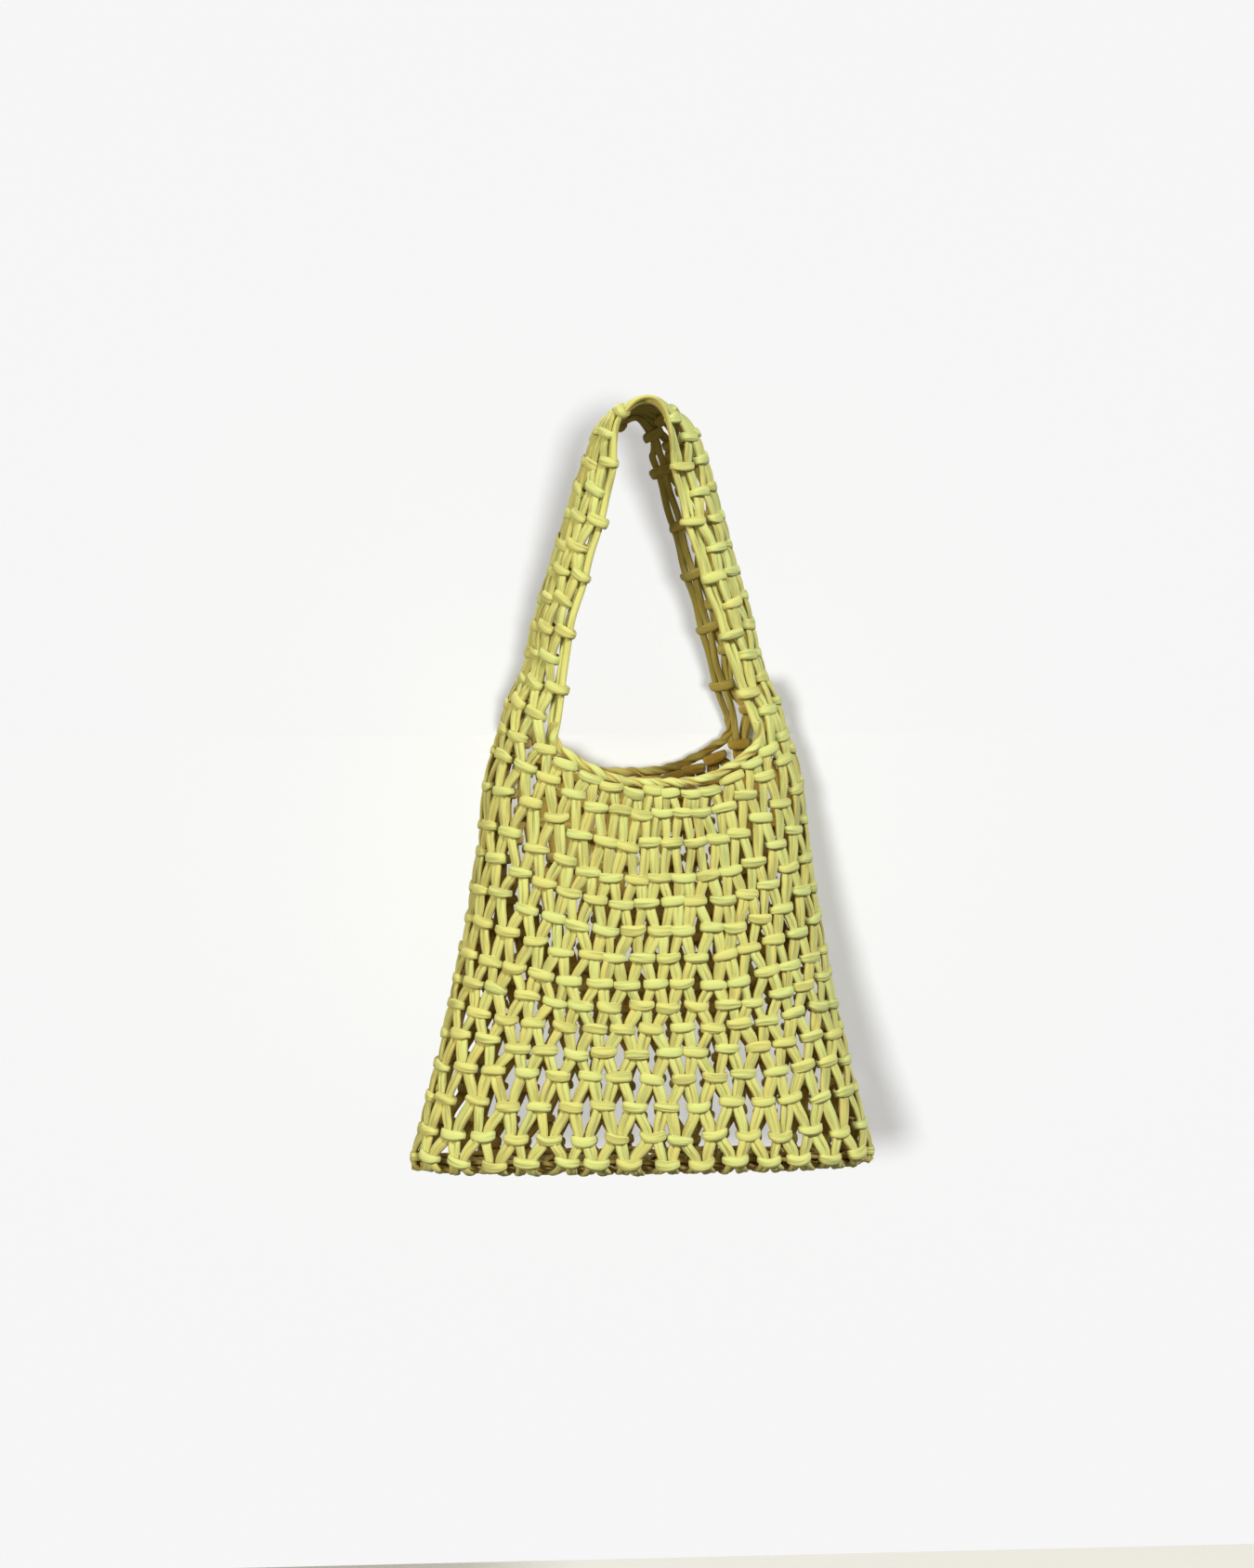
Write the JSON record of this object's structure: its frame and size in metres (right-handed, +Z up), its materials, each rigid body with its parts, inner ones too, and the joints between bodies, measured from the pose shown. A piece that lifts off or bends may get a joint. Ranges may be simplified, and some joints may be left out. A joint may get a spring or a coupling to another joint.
{
  "type": "woven mini tote bag",
  "caption": "Small knotted net tote bag, flared towards an oval base, with one wide net handle over an open U-shaped mouth, held up by its handle.",
  "frame": {"origin": "underside of the handle's crown, at the lower edge of the crown in the bag's middle plane, where a hook, peg or hand carries the bag", "axes": "+Z up, +X to the bag's right side as seen from the front, -Y towards the front"},
  "size_m": [0.283, 0.092, 0.4678],
  "materials": {
    "net_cord": "matte cotton jersey cord with soft lengthwise creases, lime yellow",
    "base_cord": "the same cord, slightly shaded and worn",
    "rim_cord": "the same cord, twisted in two plies"
  },
  "bodies": {
    "root": {"front_net": "net_cord", "back_net": "net_cord", "right_side_net": "net_cord", "left_side_net": "net_cord", "base_net": "base_cord", "handle_band": "net_cord", "front_rim_cord": "rim_cord", "back_rim_cord": "rim_cord"}
  },
  "joints": []
}
